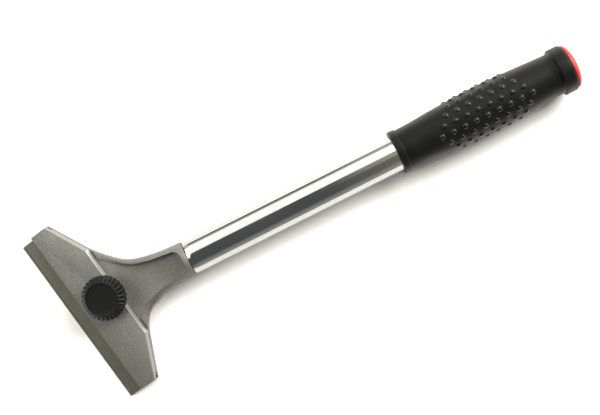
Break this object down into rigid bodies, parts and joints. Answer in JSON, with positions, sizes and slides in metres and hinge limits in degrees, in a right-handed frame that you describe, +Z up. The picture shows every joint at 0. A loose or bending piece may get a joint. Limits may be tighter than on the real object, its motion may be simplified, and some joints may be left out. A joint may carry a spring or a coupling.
{
  "type": "long-handled blade scraper",
  "caption": "Hand scraper with a skewed strip blade clamped in a cast fan head by a thumb knob, on a plated tube handle with a rubber grip and domed end plug.",
  "frame": {"origin": "middle of the underside of the tool's bounding box, on the surface that the tool lies on", "axes": "+Y along the level handle from the blade to the grip, +Z up out of the side with the clamp plate and knob, +X across"},
  "size_m": [0.1032, 0.3114, 0.0275],
  "materials": {
    "cast_metal": "die-cast, fine grain, satin",
    "plate_metal": "die-cast, fine grain, satin",
    "blade_steel": "dark rolled spring steel with a ground edge",
    "zinc_steel": "zinc-plated",
    "black_plastic": "moulded, satin",
    "chrome_tube": "bright plated",
    "black_rubber": "moulded, satin",
    "red_plastic": "moulded, semi-gloss"
  },
  "bodies": {
    "head": {"head_casting": "cast_metal", "handle_tube": "chrome_tube", "tube_rivet": "zinc_steel", "grip_sleeve": "black_rubber", "end_plug": "red_plastic"},
    "plate": {"clamp_plate": "plate_metal", "washer": "zinc_steel"},
    "blade": {"blade": "blade_steel"},
    "knob": {"knob": "black_plastic", "knob_screw": "zinc_steel"}
  },
  "joints": [
    {"name": "blade_slide", "type": "slide", "parent": "head", "child": "blade", "axis": [0.1601, -0.957, -0.2419], "range_m": [0, 0.02]},
    {"name": "plate_lift", "type": "slide", "parent": "head", "child": "plate", "axis": [0.0399, -0.2386, 0.9703], "range_m": [0, 0.002]},
    {"name": "knob_turn", "type": "hinge", "parent": "plate", "child": "knob", "pos_m": [-0.00311, -0.12293, 0.00624], "axis": [0.0399, -0.2386, 0.9703], "range_deg": [0, 720]}
  ],
  "couplings": [
    {"joint": "knob_turn", "follows": "plate_lift", "rad_per_m": 6283}
  ]
}
